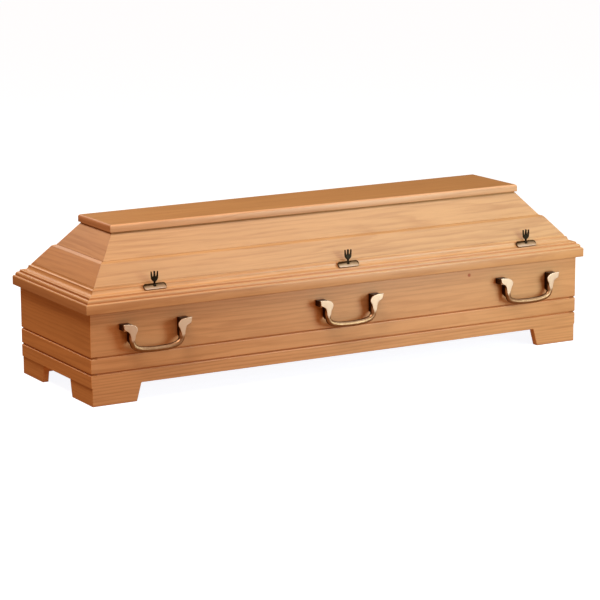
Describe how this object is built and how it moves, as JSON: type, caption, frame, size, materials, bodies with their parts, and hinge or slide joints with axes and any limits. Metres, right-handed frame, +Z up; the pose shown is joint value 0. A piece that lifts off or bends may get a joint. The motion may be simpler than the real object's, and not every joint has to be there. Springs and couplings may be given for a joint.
{
  "type": "wooden coffin",
  "caption": "Closed wooden chest coffin on corner feet, with a hipped lid on a moulded rim, grooved sides, brass carrying handles and fork-headed lid screws.",
  "frame": {"origin": "on the floor, under the middle of the coffin", "axes": "+Z up; +X along the length towards the wider head end; -Y out of the front long side"},
  "size_m": [2.039, 0.701, 0.5875],
  "materials": {
    "box_wood": "silk lacquered solid wood with fine straight grain",
    "lid_wood": "silk lacquered solid wood with fine straight grain",
    "antique_brass": "cast, browned in the hollows and polished on the faces",
    "dark_bronze": "dark bronzed"
  },
  "bodies": {
    "root": {"side_board_front": "box_wood", "side_board_back": "box_wood", "end_board_foot": "box_wood", "end_board_head": "box_wood", "bottom_board": "box_wood", "lid_rim_front": "box_wood", "lid_rim_back": "box_wood", "lid_rim_foot": "box_wood", "lid_rim_head": "box_wood", "lid_lower_slope_front": "lid_wood", "lid_lower_slope_back": "lid_wood", "lid_lower_slope_foot": "lid_wood", "lid_lower_slope_head": "lid_wood", "lid_upper_slope_front": "lid_wood", "lid_upper_slope_back": "lid_wood", "lid_upper_slope_foot": "lid_wood", "lid_upper_slope_head": "lid_wood", "lid_top_board": "lid_wood", "handle_front_foot": "antique_brass", "handle_front_middle": "antique_brass", "handle_front_head": "antique_brass", "handle_back_foot": "antique_brass", "handle_back_middle": "antique_brass", "handle_back_head": "antique_brass", "screw_plate_front_foot": "antique_brass", "screw_plate_front_middle": "antique_brass", "screw_plate_front_head": "antique_brass", "screw_plate_back_foot": "antique_brass", "screw_plate_back_middle": "antique_brass", "screw_plate_back_head": "antique_brass", "lid_screw_front_foot": "dark_bronze", "lid_screw_front_middle": "dark_bronze", "lid_screw_front_head": "dark_bronze", "lid_screw_back_foot": "dark_bronze", "lid_screw_back_middle": "dark_bronze", "lid_screw_back_head": "dark_bronze"}
  },
  "joints": []
}
